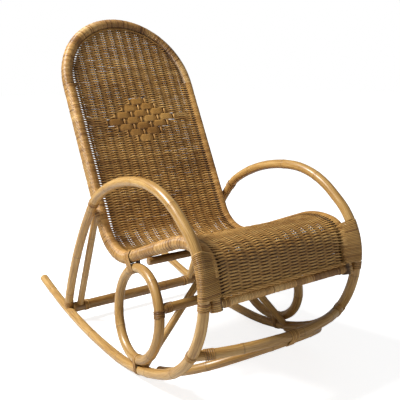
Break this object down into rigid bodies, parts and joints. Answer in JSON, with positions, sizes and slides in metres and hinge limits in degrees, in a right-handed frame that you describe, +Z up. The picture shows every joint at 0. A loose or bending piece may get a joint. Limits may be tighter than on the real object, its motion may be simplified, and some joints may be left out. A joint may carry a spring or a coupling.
{
  "type": "rattan rocking chair",
  "caption": "Rocking chair of bent rattan poles: round side loops run from rocker to arm, rings carry the seat, and a woven cane sheet fills an arched back and rolled seat.",
  "frame": {"origin": "on the floor, under the middle of the overall box", "axes": "+Z up; the chair faces -Y; the sitter's left hand is on the +X side"},
  "size_m": [0.5793, 1.0872, 1.057],
  "materials": {
    "pole": "satin varnished rattan pole",
    "wrapped_pole": "rattan pole wound with fine cane",
    "cane": "satin flat cane binding",
    "weave": "woven cane, worn satin",
    "splint": "flat cane splint"
  },
  "bodies": {
    "root": {"right_rocker": "pole", "left_rocker": "pole", "right_arm": "pole", "left_arm": "pole", "right_rear_post": "pole", "left_rear_post": "pole", "right_back_brace": "pole", "left_back_brace": "pole", "right_ring": "pole", "left_ring": "pole", "rear_bar": "pole", "mid_bar": "pole", "front_stretcher_right": "pole", "front_stretcher_left": "pole", "low_brace": "pole", "right_diagonal": "pole", "left_diagonal": "pole", "seat_crossrail": "pole", "back_hoop": "wrapped_pole", "right_seat_rail": "wrapped_pole", "left_seat_rail": "wrapped_pole", "front_rail": "wrapped_pole", "leg_wraps": "cane", "ring_head_bindings": "cane", "ring_foot_bindings": "cane", "splice_binding": "cane", "loop_joint_bindings": "cane", "arm_joint_bindings": "cane", "front_rail_bindings": "cane", "mid_bar_bindings": "cane", "ring_bindings": "cane", "rear_bar_bindings": "cane", "stretcher_bindings": "cane", "woven_panel": "weave", "front_border": "weave", "diamond_splints": "splint"}
  },
  "joints": []
}
